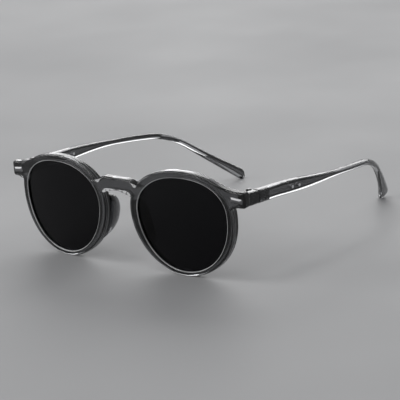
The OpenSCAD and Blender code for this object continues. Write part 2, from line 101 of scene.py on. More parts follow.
# Heights at the joint, waist and tip, the thickness of the waist, and where the taper starts and ends
TEMPLE_H, WAIST_H, TIP_H, WAIST_T, TAPER_AT, WAIST_AT = 6.1, 3.0, 6.2, 3.0, 23.0, 64.0
# Straight stretch at the joint, the stretch in which the splay starts, the splay, and the bow behind it
STRAIGHT_L, SPLAY_EASE, SPLAY, BOW_AT, BOW_R = 12.0, 10, math.radians(5), 32.0, 202.0
# Radius of the long edges, gap and edge radius at the joint, and the length of the hinge leaf let in there
TEMPLE_EDGE, JOINT_GAP, JOINT_R, TEMPLE_LEAF = 1.3, 0.15, 0.3, 10.0
# Share of the length over which the temple thins behind the leaf
THIN_OVER = 0.3
# Tip: turn in degrees, how it widens, how square its end is, and its share of thickness at the very end
TIP_TURN, TIP_WIDEN, TIP_FULL, TIP_THIN = 30.0, 2.5, 2.3, 0.35

# Plaque: width, height, thickness, how far it stands proud, tilt, bevel, corner, and way in from the end
PLAQUE_W, PLAQUE_H, PLAQUE_T, PLAQUE_PROUD = 6.0, 2.4, 0.9, 0.3
PLAQUE_TILT, PLAQUE_BEVEL, PLAQUE_CORNER, PLAQUE_IN = math.radians(8), 0.85, 0.25, 1.1
# Its posts: diameter, length, way in from the plaque's ends, and chamfer
POST_D, POST_L, POST_IN, POST_CHAMFER = 1.2, 2.2, 1.3, 0.15

# Faces on each rounded outer edge and lip
ARC_STEPS, LIP_STEPS = 8, 4
# Where rows of points lie across a face, closer together by its edges
WALL_ROWS = (0.25, 0.5, 0.75)
FACE_ROWS = (0.04, 0.12, 0.3, 0.5, 0.7, 0.88, 0.96)
SIDE_ROWS = (0.06, 0.35, 0.65, 0.94)
LENS_ROWS = (0.02, 0.12, 0.25, 0.4, 0.55, 0.7, 0.82, 0.9, 0.95, 0.975, 0.987)
# Faces that meet at more than this many degrees have a sharp edge between them
SHARP = 38

# Sizes that follow from these
LENS_X = BRIDGE_GAP / 2 + LENS_W / 2
LENS_DROP = LENS_H - LENS_RISE
LUG_X = LENS_X + LENS_W / 2 + RIM_SIDE + LUG_REACH
HALF_T = FRONT_T / 2
BRIDGE_UNDER = BRIDGE_TOP - BRIDGE_H
RIM_UP, RIM_DOWN = LENS_RISE + RIM_TOP, LENS_DROP + RIM_BOTTOM
RIM_IN, RIM_OUT = LENS_W / 2 + RIM_NOSE, LENS_W / 2 + RIM_SIDE
BEND_END = BEND_AT + BEND_R * math.radians(BEND_A)
TIP_FROM, TIP_ROUND = (BEND_AT + BEND_END) / 2, TIP_H * 0.5
SPLAY_END = STRAIGHT_L + SPLAY_EASE
PLAQUE_X = LUG_X - PLAQUE_IN - PLAQUE_W / 2

# The frame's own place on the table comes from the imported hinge
hinge = next(j for j in record["behaviour"]["joints"] if j["name"] == "temple_fold_left")
REST_Y, REST_Z = hinge["pos_m"][1] * 1000, hinge["pos_m"][2] * 1000
REST_A = math.atan2(hinge["axis"][1], hinge["axis"][2])


def lerp(a, b, t):
    return a + (b - a) * t


def ease(t):
    """Runs smoothly from 0 to 1."""
    u = np.clip(t, 0, 1)
    return u * u * (3 - 2 * u)


def sag(x):
    """How far the curved front stands back at x, against the middle of the lens."""
    return (x * x - LENS_X * LENS_X) / (2 * CURVE)


LUG_FACE = sag(LUG_X) - HALF_T
FRONT_Y = -LUG_DEPTH - LUG_FACE * math.cos(LEAN) + LUG_LEVEL * math.sin(LEAN)
FRONT_Z = -LUG_FACE * math.sin(LEAN) - LUG_LEVEL * math.cos(LEAN)


def resting(p):
    """From the wearer's frame, in millimetres, to the row's frame, in metres."""
    p = np.asarray(p, float)
    c, s = math.cos(REST_A), math.sin(REST_A)
    y = p[..., 1] * c + p[..., 2] * s + REST_Y
    z = -p[..., 1] * s + p[..., 2] * c + REST_Z
    return np.stack([p[..., 0], y, z], -1) / 1000


def leaning(p):
    """From the upright front's own frame to the row's frame."""
    p = np.asarray(p, float)
    c, s = math.cos(LEAN), math.sin(LEAN)
    y = p[..., 1] * c - p[..., 2] * s + FRONT_Y
    z = p[..., 1] * s + p[..., 2] * c + FRONT_Z
    return resting(np.stack([p[..., 0], y, z], -1))


def bent(p):
    """From the flat sheet that the front is bent from to the row's frame."""
    p = np.array(p, float)
    p[..., 1] += sag(p[..., 0])
    return leaning(p)


def inside(v):
    """Keeps points inside the box of the solids."""
    return np.clip(v, cad_bounds[0], cad_bounds[1])


# Outlines of the lens, the rim and the front
def reach(a, side, nose, up, down, full):
    """Distance from the lens's middle to an oval with four different quarters, at angles in degrees."""
    a = np.radians(np.asarray(a, float))
    c, s = np.cos(a), np.sin(a)
    quarter = (np.floor(np.degrees(a) / 90) % 4).astype(int)
    n = full[quarter]
    across, along = np.abs(c / np.where(c > 0, side, nose)), np.abs(s / np.where(s > 0, up, down))
    return (across ** n + along ** n) ** (-1 / n)


def lens_reach(a, grow):
    return reach(a, LENS_W / 2 + grow, LENS_W / 2 + grow, LENS_RISE + grow, LENS_DROP + grow, LENS_FULL)


def rim_points(a):
    r = reach(a, RIM_OUT, RIM_IN, RIM_UP, RIM_DOWN, RIM_FULL)
    t = np.radians(a)
    return np.stack([LENS_X + r * np.cos(t), r * np.sin(t)], -1)


def rim_half(z, half, up, n):
    """Half the width of an oval at the height z, or half its height at a distance from its middle."""
    return half * (1 - (z / up) ** n) ** (1 / n)


def angle_at(x, z):
    """Angle of a point round the middle of the lens, in degrees."""
    return math.degrees(math.atan2(z, x - LENS_X))


def bezier(a, b, c, t):
    a, b, c, t = np.array(a), np.array(b), np.array(c), np.asarray(t, float)[:, None]
    return (1 - t) ** 2 * a + 2 * t * (1 - t) * b + t * t * c


def level(start, end, n, z):
    """Points on a level line."""
    return np.stack([np.linspace(start, end, n), np.full(n, z)], -1)


def fillet(p, q, r, radius, n):
    """A true arc of that radius in the corner p, q, r."""
    p, q, r = np.array(p), np.array(q), np.array(r)
    u, v = (p - q) / np.linalg.norm(p - q), (r - q) / np.linalg.norm(r - q)
    half = math.acos(float(np.clip(u @ v, -1, 1))) / 2
    d = radius / math.tan(half)
    centre = q + (u + v) / np.linalg.norm(u + v) * radius / math.sin(half)
    a, b = q + u * d - centre, q + v * d - centre
    total = math.pi - 2 * half
    out = []
    for t in np.linspace(0, 1, n):
        out.append(centre + (math.sin((1 - t) * total) * a + math.sin(t * total) * b) / math.sin(total))
    return np.array(out)


def thinned(points, least=0.04):
    """Leaves out each point that lies closer than that to the last one kept."""
    keep = [0]
    for i in range(1, len(points)):
        if np.linalg.norm(points[i] - points[keep[-1]]) > least:
            keep.append(i)
    return points[keep]


def front_outline():
    """Half the front's outline, from the middle of the bridge's top, round the rim, to under the bridge."""
    notch_x = BRIDGE_GAP / 2
    notch = np.array([notch_x, rim_half(LENS_X - notch_x, RIM_UP, RIM_IN, RIM_FULL[1])])
    brow_x = LENS_X + LENS_W * BROW_AT
    brow = np.array([brow_x, rim_half(brow_x - LENS_X, RIM_UP, RIM_OUT, RIM_FULL[0])])
    top, low = LUG_LEVEL + LUG_H / 2, LUG_LEVEL - LUG_H / 2
    shoulder = [[LUG_X - x, top + z] for x, z in LUG_SHOULDER]
    root_x = LENS_X + rim_half(low - ROOT_STEP, RIM_OUT, RIM_UP, RIM_FULL[0])
    root_a = angle_at(root_x, low - ROOT_STEP)
    arch_x = LENS_X - rim_half(BRIDGE_UNDER - ARCH_DROP, RIM_IN, RIM_UP, RIM_FULL[1])
    arch_a = angle_at(arch_x, BRIDGE_UNDER - ARCH_DROP) - 360
    root, arch = rim_points(np.array([root_a, arch_a]))
    saddle = level(0, SADDLE_W, 9, BRIDGE_TOP)
    dip = [notch_x - NOTCH_EASE, BRIDGE_TOP]
    into_notch = bezier(saddle[-1], dip, notch, np.linspace(0.08, 0.96, 14))
    over_lens = rim_points(np.linspace(angle_at(*notch), angle_at(*brow), 96))
    bulge = [brow_x + BROW_OUT, brow[1] - BROW_DOWN]
    past_brow = bezier(brow, bulge, shoulder[0], np.linspace(0.06, 0.94, 16))
    top_corner = fillet(shoulder[3], [LUG_X, top], [LUG_X, low], LUG_CORNER, 12)
    lug_end = [[LUG_X, lerp(top - LUG_END_IN, low + LUG_END_IN, t)] for t in WALL_ROWS]
    low_corner = fillet([LUG_X, top], [LUG_X, low], [root_x, low], LUG_CORNER, 12)
    under_lug = [[lerp(LUG_X, root_x, 0.45), low]]
    into_rim = fillet([LUG_X, low], [root_x + 0.1, low], root, ROOT_FILLET, 8)
    under_lens = rim_points(np.linspace(root_a, arch_a, 190)[2:])
    under_bridge = level(arch_x - ARCH_FLAT, 0, 8, BRIDGE_UNDER)
    crown = [arch_x - ARCH_EASE, BRIDGE_UNDER]
    into_arch = bezier(arch, crown, under_bridge[0], np.linspace(0.08, 1, 14))
    above = [saddle, into_notch, over_lens, past_brow, shoulder, top_corner, lug_end]
    below = [low_corner, under_lug, into_rim, under_lens, into_arch, under_bridge[1:]]
    line = thinned(np.concatenate(above + below))
    line[-1] = [0, BRIDGE_UNDER]
    return line


# Meshes
def new_object(name, verts, faces):
    mesh = bpy.data.meshes.new(name)
    mesh.from_pydata([tuple(v) for v in verts], [], [tuple(int(i) for i in f) for f in faces])
    mesh.validate()
    obj = bpy.data.objects.new(name, mesh)
    bpy.context.scene.collection.objects.link(obj)
    return obj


def shade(obj, angle=SHARP):
    """Smooth, but sharp where faces meet at more than the angle, in degrees."""
    obj.data.shade_smooth()
    obj.data.set_sharp_from_angle(angle=math.radians(angle))


def weld(obj, angle=SHARP, merge=1e-6):
    """Joins points that coincide, turns all faces outwards and shades them."""
    bm = bmesh.new()
    bm.from_mesh(obj.data)
    bmesh.ops.remove_doubles(bm, verts=bm.verts, dist=merge)
    bmesh.ops.dissolve_degenerate(bm, dist=1e-7, edges=bm.edges)
    bmesh.ops.recalc_face_normals(bm, faces=bm.faces)
    bm.to_mesh(obj.data)
    bm.free()
    shade(obj, angle)


def mirrored(verts, faces):
    v = np.array(verts, float)
    v[:, 0] *= -1
    return v, [list(reversed(f)) for f in faces]


def skin(rings, close=True):
    """Quads over rings of points, closed by a fan at each end."""
    rings = np.array(rings)
    m, n = rings.shape[:2]
    verts = list(rings.reshape(-1, 3))
    faces = []
    for j in range(m - 1):
        for i in range(n):
            i2 = (i + 1) % n
            faces.append([j * n + i, j * n + i2, (j + 1) * n + i2, (j + 1) * n + i])
    if close:
        for row, order in ((0, 1), (m - 1, -1)):
            verts.append(rings[row].mean(0))
            middle = len(verts) - 1
            faces += [[middle, row * n + i, row * n + (i + 1) % n][::-order] for i in range(n)]
    return np.array(verts), faces


def rounded_rect(w, h, r, steps=ARC_STEPS):
    """Points round a rectangle with half sizes w and h and corner radius r, with more along its sides."""
    r = min(r, w * 0.98, h * 0.98)
    centres = [np.array([(w - r) * x, (h - r) * z]) for x, z in ((1, 1), (-1, 1), (-1, -1), (1, -1))]
    out = []
    for c, centre in enumerate(centres):
        for a in np.radians(90 * c + np.linspace(0, 90, steps + 1)):
            out.append(centre + r * np.array([math.cos(a), math.sin(a)]))
        a = math.radians(90 * c + 90)
        start, end = out[-1], centres[(c + 1) % 4] + r * np.array([math.cos(a), math.sin(a)])
        out += [lerp(start, end, f) for f in SIDE_ROWS]
    return np.array(out)


# Which material a face gets: the broad faces, the rounded edges with a painted highlight, or the lips round
# the lenses with a painted highlight
FACE, EDGE, LIP = 0, 1, 2
# The last stretch of the end piece has no painted edge highlight
HIGHLIGHT_STOP = 1.5
# How much a point's own angle round the lens counts, against an even spread
OWN_ANGLE = 0.72


def long_edges(faces, around, corners):
    """Marks the rounded long edges of a skin over rings from rounded_rect, at the corners numbered, for the
    painted edge highlight.
    """
    side = around // 4
    edges = []
    for f in faces:
        rounded = len(f) == 4 and f[0] % side < ARC_STEPS
        edges.append(EDGE if rounded and f[0] % around // side in corners else FACE)
    return edges


def outline_normals(line):
    """Outward normals of the half outline, which its mirror image carries on at both ends."""
    before = np.concatenate([[[-line[1][0], line[1][1]]], line[:-1]])
    after = np.concatenate([line[1:], [[-line[-2][0], line[-2][1]]]])
    d = after - before
    return np.stack([-d[:, 1], d[:, 0]], -1) / np.linalg.norm(d, axis=1)[:, None]


def angles_round(ring, outline_n):
    """Falling angles round the lens, in degrees, near those of the ring's points but spread more evenly."""
    angle = np.degrees(np.arctan2(ring[:, 1], ring[:, 0] - LENS_X))
    last_stretch = np.arange(len(ring)) > outline_n * 0.6
    angle = np.where((angle > 0) & last_stretch, angle - 360, angle)
    steps = np.linalg.norm(np.diff(np.concatenate([ring, ring[:1]]), axis=0), axis=1)
    length = np.concatenate([[0], np.cumsum(steps)])
    even = lerp(angle[0], angle[0] - 360, length[:-1] / length[-1])
    return lerp(even, angle, OWN_ANGLE)


def front_half_mesh():
    """The left half of the front, open at the middle, as rows of points that run round it and the lens."""
    line = front_outline()
    n = len(line)
    seam = np.stack([np.zeros(9), np.linspace(BRIDGE_UNDER, BRIDGE_TOP, 11)[1:-1]], -1)
    ring = np.concatenate([line, seam])
    m = len(ring)
    normal = outline_normals(line)
    ring_a = angles_round(ring, n)

    def outer(inset, depth):
        p = np.concatenate([line - inset * normal, seam])
        p[0, 0] = p[n - 1, 0] = 0
        return np.stack([p[:, 0], np.full(m, depth), p[:, 1]], -1)

    def inner(grow, depth):
        r = lens_reach(ring_a, grow)
        t = np.radians(ring_a)
        return np.stack([LENS_X + r * np.cos(t), np.full(m, depth), r * np.sin(t)], -1)

    arc = np.radians(np.linspace(0, 90, ARC_STEPS + 1))
    rows = [outer(EDGE_R * (1 - math.sin(a)), -HALF_T + EDGE_R * (1 - math.cos(a))) for a in arc]
    rows += [outer(0, lerp(-HALF_T + EDGE_R, HALF_T - EDGE_R, f)) for f in WALL_ROWS]
    rows += [outer(EDGE_R * (1 - math.cos(a)), HALF_T - EDGE_R * (1 - math.sin(a))) for a in arc]
    rims = range(len(rows) - 1)
    arc = np.radians(np.linspace(0, 90, LIP_STEPS + 1))
    lip = [(LIP_R * (1 - math.sin(a)) - GROOVE_D, HALF_T - LIP_R * (1 - math.cos(a))) for a in arc]
    back_lip = [inner(grow, depth) for grow, depth in lip]
    rows += [lerp(rows[-1], back_lip[0], f) for f in FACE_ROWS]
    lips = [*range(len(rows), len(rows) + LIP_STEPS)]
    rows += back_lip
    groove = ((-GROOVE_D, GROOVE_W / 2 + GROOVE_STRIP), (-GROOVE_D, GROOVE_W / 2), (LENS_PLAY, 0),
              (-GROOVE_D, -GROOVE_W / 2), (-GROOVE_D, -GROOVE_W / 2 - GROOVE_STRIP))
    rows += [inner(grow, depth) for grow, depth in groove]
    lips += range(len(rows), len(rows) + LIP_STEPS)
    rows += [inner(grow, -depth) for grow, depth in lip[::-1]]
    rows += [lerp(rows[-1], rows[0], f) for f in FACE_ROWS]

    grid = np.array(rows)
    on_seam = np.abs(grid[..., 0]) < 1e-9
    verts = bent(grid).reshape(-1, 3)
    verts[:, 0] = np.where(on_seam.reshape(-1), 0, verts[:, 0])
    faces, edges = [], []
    k = len(rows)
    for j in range(k):
        for i in range(m):
            j2, i2 = (j + 1) % k, (i + 1) % m
            if on_seam[j, i] and on_seam[j2, i] and on_seam[j2, i2] and on_seam[j, i2]:
                continue
            faces.append([j * m + i, j * m + i2, j2 * m + i2, j2 * m + i])
            # Rounded outer edges and walls get the painted edge highlight, short of the end piece's end, and
            # the lips get the painted lip highlight
            clear = j in rims and ring[i, 0] < LUG_X - HIGHLIGHT_STOP
            edges.append(LIP if j in lips else EDGE if clear else FACE)
    return verts, faces, edges


def end_block_mesh():
    """The end piece behind the front's face, which tapers to the temple's height at the joint."""
    start = -LUG_DEPTH + FRONT_T * BLOCK_FROM
    stations = []
    for t in (*np.linspace(0, 0.96, 14), 0.975):
        stations.append((t, min(lerp(start, 0, t), -BLOCK_R - 0.02), 0))
    for a in np.radians(np.linspace(0, 90, 5)):
        stations.append((1.0, -BLOCK_R + BLOCK_R * math.sin(a), BLOCK_R * (1 - math.cos(a))))
    rings = []
    for t, y, inset in stations:
        trim = BLOCK_TRIM + BLOCK_END_TRIM * (2 * t - 1) ** 2 + inset
        h = lerp(LUG_H - BLOCK_LOWER, TEMPLE_H, float(ease(t))) - 2 * trim
        w = LUG_W - 2 * trim
        p = rounded_rect(w / 2, h / 2, TEMPLE_EDGE)
        rings.append(np.stack([LUG_X - LUG_W / 2 + p[:, 0], np.full(len(p), y), p[:, 1]], -1))
    verts, faces = skin(resting(np.array(rings)))
    return verts, faces, long_edges(faces, len(rings[0]), (0, 1))


def fall(s):
    """Slope of the temple's middle line, in degrees below level."""
    camber = CAMBER * np.clip((s - CAMBER_AT) / (BEND_AT - CAMBER_AT), 0, 1)
    return camber + BEND_A * np.clip((s - BEND_AT) / (BEND_END - BEND_AT), 0, 1)


LINE_STEPS = 6000
LINE_S = np.linspace(0, TEMPLE_L, LINE_STEPS + 1)
LINE_A = np.radians((fall(LINE_S[1:]) + fall(LINE_S[:-1])) / 2)
LINE_Y = np.concatenate([[0], np.cumsum(np.cos(LINE_A)) * TEMPLE_L / LINE_STEPS])
LINE_Z = -np.concatenate([[0], np.cumsum(np.sin(LINE_A)) * TEMPLE_L / LINE_STEPS])


def temple_line(s):
    """Outer side, and the middle line's place along and up."""
    if s < STRAIGHT_L:
        run = 0
    elif s < SPLAY_END:
        run = (s - STRAIGHT_L) ** 2 / (2 * (SPLAY_END - STRAIGHT_L))
    else:
        run = s - (STRAIGHT_L + SPLAY_END) / 2
    x = LUG_X + math.tan(SPLAY) * run - max(0, s - BOW_AT) ** 2 / (2 * BOW_R)
    return x, float(np.interp(s, LINE_S, LINE_Y)), float(np.interp(s, LINE_S, LINE_Z))


def round_off(s):
    """Share of the full height that the tip's round end leaves."""
    into = np.maximum(0, s - (TEMPLE_L - TIP_ROUND)) / TIP_ROUND
    return np.maximum(0, 1 - into ** TIP_FULL) ** (1 / TIP_FULL)


def temple_half(s):
    """Half the temple's height."""
    body = lerp(TEMPLE_H, WAIST_H, ease((s - TAPER_AT) / (WAIST_AT - TAPER_AT)))
    tip = np.clip((s - TIP_FROM) / (TEMPLE_L - TIP_ROUND - TIP_FROM), 0, 1) ** TIP_WIDEN
    return lerp(body, TIP_H, tip) / 2 * np.maximum(0.03, round_off(s))


def temple_thick(s):
    body = lerp(LUG_W, WAIST_T, ease((s - TEMPLE_LEAF) / (THIN_OVER * TEMPLE_L)))
    return body * lerp(TIP_THIN, 1, round_off(s))


def temple_stations():
    """Where the temple's rings lie along it, and how far each is drawn in."""
    out = []
    for a in np.radians(np.linspace(90, 0, 5)):
        out.append((JOINT_GAP + JOINT_R * (1 - math.sin(a)), JOINT_R * (1 - math.cos(a))))
    straight = np.concatenate([[0.6], np.linspace(1.5, BEND_AT - 1, 72)])
    bend = np.linspace(BEND_AT, BEND_END, 26)
    rear = np.linspace(BEND_END + 1, TEMPLE_L - TIP_ROUND, 26)
    out += [(s, 0) for s in np.concatenate([straight, bend, rear])]
    for a in np.radians(np.linspace(6, 89.5, 20)):
        out.append((TEMPLE_L - TIP_ROUND + TIP_ROUND * math.sin(a), 0))
    return out


def temple_mesh():
    rings = []
    for s, inset in temple_stations():
        h, w = float(temple_half(s)) - inset, float(temple_thick(s)) / 2 - inset
        x, y, z = temple_line(s)
        mid = x - float(temple_thick(s)) / 2
        a = math.radians(float(fall(s)))
        turn = math.radians(TIP_TURN * float(ease((s - BEND_AT) / (TEMPLE_L - BEND_AT))))
        p = rounded_rect(w, h, min(TEMPLE_EDGE, h * 0.8, w * 0.8))
        across = p[:, 0] * math.cos(turn) + p[:, 1] * math.sin(turn)
        up = p[:, 1] * math.cos(turn) - p[:, 0] * math.sin(turn)
        rings.append(np.stack([mid + across, y + up * math.sin(a), z + up * math.cos(a)], -1))
    verts, faces = skin(resting(np.array(rings)))
    return verts, faces, long_edges(faces, len(rings[0]), range(4))


def lens_mesh():
    """A bulged lens of one thickness, with a bevel round its edge that fits the groove."""
    angles = np.arange(0, 360, 2.0)
    bevel = GROOVE_W / 2 - LENS_PLAY
    inner = -GROOVE_D - LENS_PLAY

    def ring(q, depth, grow):
        r = q * lens_reach(angles, grow)
        t = np.radians(angles)
        return bent(np.stack([LENS_X + r * np.cos(t), np.full(len(angles), depth), r * np.sin(t)], -1))

    rings = [ring(q, -LENS_T / 2 - LENS_BULGE * (1 - q * q), inner) for q in LENS_ROWS]
    rings += [ring(1, -LENS_T / 2 + LENS_CHAMFER, inner), ring(1, -bevel, inner), ring(1, 0, 0),
              ring(1, bevel, inner), ring(1, LENS_T / 2 - LENS_BACK_CHAMFER, inner)]
    rings += [ring(q, LENS_T / 2 - LENS_BULGE * (1 - q * q), inner) for q in LENS_ROWS[::-1]]
    return skin(rings)


def nose_edge(z):
    """The rim's edge towards the nose, at the height z."""
    if z > 0:
        return LENS_X - rim_half(z, RIM_IN, RIM_UP, RIM_FULL[1])
    return LENS_X - rim_half(-z, RIM_IN, RIM_DOWN, RIM_FULL[2])


def pad_mesh():
    """A leaf-shaped pad that stands on the back of the rim and splays towards the wearer."""
    rings = []
    for t in np.sin(np.radians(np.linspace(-89, 89, 41))):
        w = max(math.sqrt(max(0.0, 1 - abs(t) ** PAD_FULL)), 0.1)
        z = PAD_LEVEL + t * PAD_H / 2
        x = nose_edge(z) + PAD_IN
        y = sag(x) + HALF_T + (PAD_W / 2 * w - PAD_SEAT) * math.cos(PAD_SPLAY)
        ring = []
        for a in np.radians(np.arange(0, 360, 7.5)):
            u, v = PAD_T / 2 * lerp(0.5, 1, w) * w * math.sin(a), PAD_W / 2 * w * math.cos(a)
            px = x + u * math.cos(PAD_SPLAY) + v * math.sin(PAD_SPLAY)
            py = y - u * math.sin(PAD_SPLAY) + v * math.cos(PAD_SPLAY)
            ring.append([px, max(py, sag(px) + HALF_T + PAD_CLEAR), z])
        rings.append(ring)
    return skin(leaning(np.array(rings)))


def on_plaque(p):
    """From the plaque's own frame, where x is its length and z its height, to the row's frame."""
    p = np.asarray(p, float)
    tilt, turn = PLAQUE_TILT, math.atan(PLAQUE_X / CURVE)
    x = p[..., 0] * math.cos(tilt) + p[..., 2] * math.sin(tilt)
    z = p[..., 2] * math.cos(tilt) - p[..., 0] * math.sin(tilt)
    y = p[..., 1]
    across = x * math.cos(turn) - y * math.sin(turn) + PLAQUE_X
    back = x * math.sin(turn) + y * math.cos(turn) + sag(PLAQUE_X) - HALF_T
    return leaning(np.stack([across, back, z + LUG_LEVEL], -1))


def plaque_mesh():
    """A plate with a flat table and four bevelled sides, and its two posts."""
    line = rounded_rect(PLAQUE_W / 2, PLAQUE_H / 2, PLAQUE_CORNER, steps=3)

    def ring(shrink, depth):
        half = np.array([PLAQUE_W / 2, PLAQUE_H / 2])
        p = line * (half - shrink) / half
        return np.stack([p[:, 0], np.full(len(p), depth), p[:, 1]], -1)

    under = PLAQUE_T - PLAQUE_PROUD
    plate = [(PLAQUE_H / 2 - 0.02, -PLAQUE_PROUD), (PLAQUE_BEVEL, -PLAQUE_PROUD),
             (PLAQUE_BEVEL / 2, 0.02 - PLAQUE_PROUD / 2), (0, 0.04), (0, under)]
    post = [(under - 0.05, POST_D / 2), (under + POST_L - POST_CHAMFER, POST_D / 2),
            (under + POST_L, POST_D / 2 - POST_CHAMFER)]
    verts, faces = skin(on_plaque(np.array([ring(*p) for p in plate])))
    turns = np.radians(np.arange(0, 360, 18))
    for side in (-1, 1):
        x = side * (PLAQUE_W / 2 - POST_IN)
        rings = [[[x + r * math.cos(a), y, r * math.sin(a)] for a in turns] for y, r in post]
        v, f = skin(on_plaque(np.array(rings)))
        faces += [[i + len(verts) for i in q] for q in f]
        verts = np.concatenate([verts, v])
    return verts, faces


# Materials
def add_noise(nt, place, scale, detail):
    noise = nt.nodes.new("ShaderNodeTexNoise")
    noise.inputs["Scale"].default_value = scale
    noise.inputs["Detail"].default_value = detail
    nt.links.new(place.outputs["Vector"], noise.inputs["Vector"])
    return noise.outputs["Fac"]


def add_bump(nt, place, bsdf, strength, scale):
    bump = nt.nodes.new("ShaderNodeBump")
    bump.inputs["Strength"].default_value = strength
    bump.inputs["Distance"].default_value = 0.0002
    nt.links.new(add_noise(nt, place, scale, 3), bump.inputs["Height"])
    nt.links.new(bump.outputs["Normal"], bsdf.inputs["Normal"])


def material(name, base, transmission=0.0, metallic=0.0, rough=(0.05, 0.1), scale=120.0, bump=0.0,
             bump_scale=400.0, ior=1.49, absorb=None, stretch=(1, 1, 1), tint=0.06):
    """Its roughness drifts between the two ends of rough, and its colour by the share tint."""
    mat = bpy.data.materials.new(name)
    mat.use_nodes = True
    nt = mat.node_tree
    bsdf = nt.nodes["Principled BSDF"]
    bsdf.inputs["Metallic"].default_value = metallic
    bsdf.inputs["IOR"].default_value = ior
    bsdf.inputs["Transmission Weight"].default_value = transmission
    coord = nt.nodes.new("ShaderNodeTexCoord")
    place = nt.nodes.new("ShaderNodeMapping")
    place.inputs["Scale"].default_value = stretch
    nt.links.new(coord.outputs["Object"], place.inputs["Vector"])
    drift = add_noise(nt, place, scale, 4)
    low, high = 0.3, 0.7
    span = nt.nodes.new("ShaderNodeMapRange")
    span.inputs["From Min"].default_value, span.inputs["From Max"].default_value = low, high
    span.inputs["To Min"].default_value, span.inputs["To Max"].default_value = rough
    nt.links.new(drift, span.inputs["Value"])
    nt.links.new(span.outputs["Result"], bsdf.inputs["Roughness"])
    ramp = nt.nodes.new("ShaderNodeValToRGB")
    for end, at, share in zip(ramp.color_ramp.elements, (low, high), (1 - tint, 1 + tint)):
        end.position = at
        end.color = tuple(min(1, c * share) for c in base) + (1,)
    nt.links.new(drift, ramp.inputs["Fac"])
    nt.links.new(ramp.outputs["Color"], bsdf.inputs["Base Color"])
    if bump:
        add_bump(nt, place, bsdf, bump, bump_scale)
    if absorb:
        vol = nt.nodes.new("ShaderNodeVolumeAbsorption")
        vol.inputs["Color"].default_value = absorb[0] + (1,)
        vol.inputs["Density"].default_value = absorb[1]
        nt.links.new(vol.outputs["Volume"], nt.nodes["Material Output"].inputs["Volume"])
    return mat


# Polished smoke acetate: its faces; its rounded edges, made lighter and clearer as a painted highlight; and
# the lips round the lenses, made pale as a painted highlight
SMOKE = dict(scale=60, bump=0.015, bump_scale=220, absorb=((0.50, 0.51, 0.53), 70.0))
POLISHED = dict(transmission=1.0, rough=(0.008, 0.02), **SMOKE)
acetate = material("smoke_acetate", (0.12, 0.121, 0.125), **POLISHED)
# Painted highlight: a lighter, clearer copy of the acetate for its rounded edges
painted_edge_highlight = material("painted_edge_highlight", (0.64, 0.642, 0.65), **POLISHED)
# Painted highlight: a pale, partly diffuse copy of the acetate for the lips round the lenses
painted_lip_highlight = material("painted_lip_highlight", (0.8, 0.802, 0.81), transmission=0.3, rough=(0.06, 0.12), tint=0.55,
                      **SMOKE)
tint_lens = material("dark_lens", (0.006, 0.006, 0.007), transmission=1.0, rough=(0.01, 0.03), scale=30,
                     ior=1.22, tint=0.2)
# Brushed plaques, polished rivets, and one hinge metal in two copies: darker in the front as painted shade,
# and paler in the temple's leaf
plaque_metal = material("plaque_metal", (0.24, 0.24, 0.245), metallic=1.0, rough=(0.07, 0.14), scale=900,
                        stretch=(0.1, 1, 1), bump=0.05, bump_scale=1600)
rivet_metal = material("rivet_metal", (0.78, 0.78, 0.80), metallic=1.0, rough=(0.12, 0.22), scale=900,
                       bump=0.03)
HINGE = dict(metallic=1.0, rough=(0.22, 0.3), scale=500, bump=0.02, bump_scale=900)
# Painted shade: the hinge metal made near black for the hinge pieces in the front
hinge_metal = material("hinge_metal", (0.10, 0.10, 0.102), **HINGE)
# The lighter copy of the same hinge metal, for the leaf in the temple
lit_leaf_metal = material("lit_leaf_metal", (0.34, 0.34, 0.345), **HINGE)


def paint_highlights(obj, edges):
    """Gives the marked edges a lighter, clearer copy of the acetate and the lips a pale one, both painted
    highlights.
    """
    obj.data.materials.append(painted_edge_highlight)
    obj.data.materials.append(painted_lip_highlight)
    for face, edge in zip(obj.data.polygons, edges):
        face.material_index = edge


# Pieces
def shaped(name, mesh, mat, flip=False, angle=SHARP, merge=1e-6):
    """An object from a mesh, or from its mirror image, with painted highlights on the edges and lips where
    the mesh marks them.
    """
    verts, faces = inside(mesh[0]), mesh[1]
    if flip:
        verts, faces = mirrored(verts, faces)
    obj = new_object(name, verts, faces)
    obj.data.materials.append(mat)
    if len(mesh) > 2:
        paint_highlights(obj, mesh[2])
    weld(obj, angle, merge)
    return obj


def piece(name, mesh, mat, body, nodes, flip=False, angle=SHARP):
    obj = shaped(name, mesh, mat, flip, angle)
    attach(obj, body)
    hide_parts(*nodes)
    return obj


def unite(obj, tool):
    """Makes one closed shape of both, and removes the tool."""
    mod = obj.modifiers.new("join", "BOOLEAN")
    mod.operation, mod.solver, mod.object = "UNION", "MANIFOLD", tool
    deps = bpy.context.evaluated_depsgraph_get()
    joined = bpy.data.meshes.new_from_object(obj.evaluated_get(deps), depsgraph=deps)
    obj.modifiers.clear()
    obj.data = joined
    bpy.data.objects.remove(tool)


# The front: both halves welded, with the end blocks united with it
half_verts, half_faces, half_edges = front_half_mesh()
other_verts, other_faces = mirrored(half_verts, half_faces)
both_verts = np.concatenate([half_verts, other_verts])
both_faces = half_faces + [[i + len(half_verts) for i in f] for f in other_faces]
front = shaped("front_shaped", (both_verts, both_faces, half_edges * 2), acetate, merge=2e-6)
end_block = end_block_mesh()
for flip in (False, True):
    unite(front, shaped("block_tool", end_block, acetate, flip))
shade(front)
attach(front, "frame")
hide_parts("front_frame")

